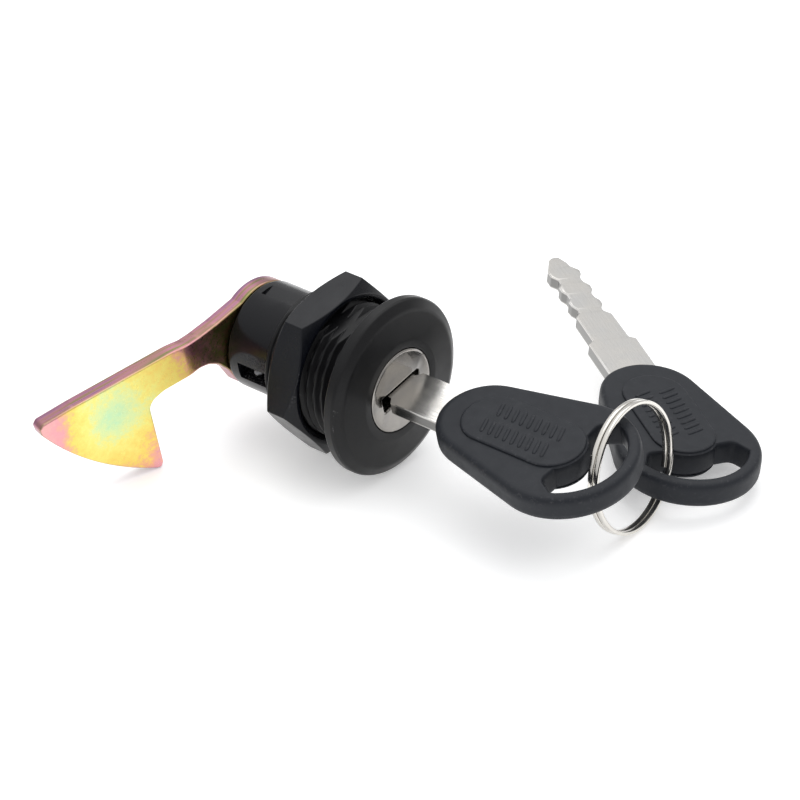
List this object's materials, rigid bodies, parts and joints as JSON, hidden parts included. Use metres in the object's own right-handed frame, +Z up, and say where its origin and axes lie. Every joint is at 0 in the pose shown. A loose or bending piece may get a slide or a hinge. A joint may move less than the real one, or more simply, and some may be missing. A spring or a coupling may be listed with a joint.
{
  "type": "hook cam lock with two keys",
  "caption": "Keyed hook cam lock: threaded barrel with round flange and hex nut, turning plug with wafers, bolted hook cam, and keys on a split ring.",
  "frame": {"origin": "on the lock axis, in the plane of the flange's rear face that seats on the panel", "axes": "+Y along the lock axis from the face towards the cam, +Z up, -X the way the hook's arm points"},
  "size_m": [0.0971, 0.0866, 0.0296],
  "materials": {
    "black_lacquer": "satin black",
    "nut_black": "semi-gloss black",
    "nickel": "satin nickel",
    "nickel_satin": "satin nickel",
    "steel": "zinc plated",
    "wafer_brass": "bare brass",
    "yellow_zinc": "yellow passivated zinc",
    "key_nickel": "satin nickel",
    "key_plastic": "matt black",
    "ring_nickel": "polished nickel"
  },
  "bodies": {
    "housing": {"housing": "black_lacquer", "stop_pin": "steel"},
    "nut": {"hex_nut": "nut_black"},
    "plug": {"plug": "nickel", "face_cap": "nickel_satin", "cam": "yellow_zinc", "lock_washer": "steel", "cam_bolt": "steel", "spring_1": "steel", "spring_2": "steel", "spring_3": "steel", "spring_4": "steel", "spring_5": "steel", "spring_6": "steel"},
    "wafer_1": {"wafer_1": "wafer_brass"},
    "wafer_2": {"wafer_2": "wafer_brass"},
    "wafer_3": {"wafer_3": "wafer_brass"},
    "wafer_4": {"wafer_4": "wafer_brass"},
    "wafer_5": {"wafer_5": "wafer_brass"},
    "wafer_6": {"wafer_6": "wafer_brass"},
    "key_1": {"key_1_blade": "key_nickel", "key_1_head": "key_plastic"},
    "ring": {"split_ring": "ring_nickel"},
    "key_2": {"key_2_blade": "key_nickel", "key_2_head": "key_plastic"}
  },
  "joints": [
    {"name": "plug_turn", "type": "hinge", "parent": "housing", "child": "plug", "pos_m": [0, 0, 0], "axis": [0, 1, 0], "range_deg": [0, 90]},
    {"name": "key_slide", "type": "slide", "parent": "plug", "child": "key_1", "axis": [0, 1, 0], "range_m": [-0.027, 0]},
    {"name": "nut_travel", "type": "slide", "parent": "housing", "child": "nut", "axis": [0, 1, 0], "range_m": [-0.0068, 0.003]},
    {"name": "ring_swing", "type": "hinge", "parent": "key_1", "child": "ring", "pos_m": [0.0008, -0.0405, 0.0002], "axis": [0.9816, 0, 0.1908], "range_deg": [-8, 8]},
    {"name": "key_2_swing", "type": "hinge", "parent": "ring", "child": "key_2", "pos_m": [0.0182, -0.0406, -0.0097], "axis": [0, 0, 1], "range_deg": [-15, 15]},
    {"name": "wafer_1_slide", "type": "slide", "parent": "plug", "child": "wafer_1", "axis": [0.9816, 0, 0.1908], "range_m": [0, 0.001]},
    {"name": "wafer_2_slide", "type": "slide", "parent": "plug", "child": "wafer_2", "axis": [-0.9816, 0, -0.1908], "range_m": [0, 0.001]},
    {"name": "wafer_3_slide", "type": "slide", "parent": "plug", "child": "wafer_3", "axis": [0.9816, 0, 0.1908], "range_m": [0, 0.001]},
    {"name": "wafer_4_slide", "type": "slide", "parent": "plug", "child": "wafer_4", "axis": [-0.9816, 0, -0.1908], "range_m": [0, 0.001]},
    {"name": "wafer_5_slide", "type": "slide", "parent": "plug", "child": "wafer_5", "axis": [0.9816, 0, 0.1908], "range_m": [0, 0.001]},
    {"name": "wafer_6_slide", "type": "slide", "parent": "plug", "child": "wafer_6", "axis": [-0.9816, 0, -0.1908], "range_m": [0, 0.001]}
  ],
  "couplings": [
    {"joint": "wafer_1_slide", "follows": "key_slide", "ratio": -0.037},
    {"joint": "wafer_2_slide", "follows": "key_slide", "ratio": -0.037},
    {"joint": "wafer_3_slide", "follows": "key_slide", "ratio": -0.037},
    {"joint": "wafer_4_slide", "follows": "key_slide", "ratio": -0.037},
    {"joint": "wafer_5_slide", "follows": "key_slide", "ratio": -0.037},
    {"joint": "wafer_6_slide", "follows": "key_slide", "ratio": -0.037}
  ]
}
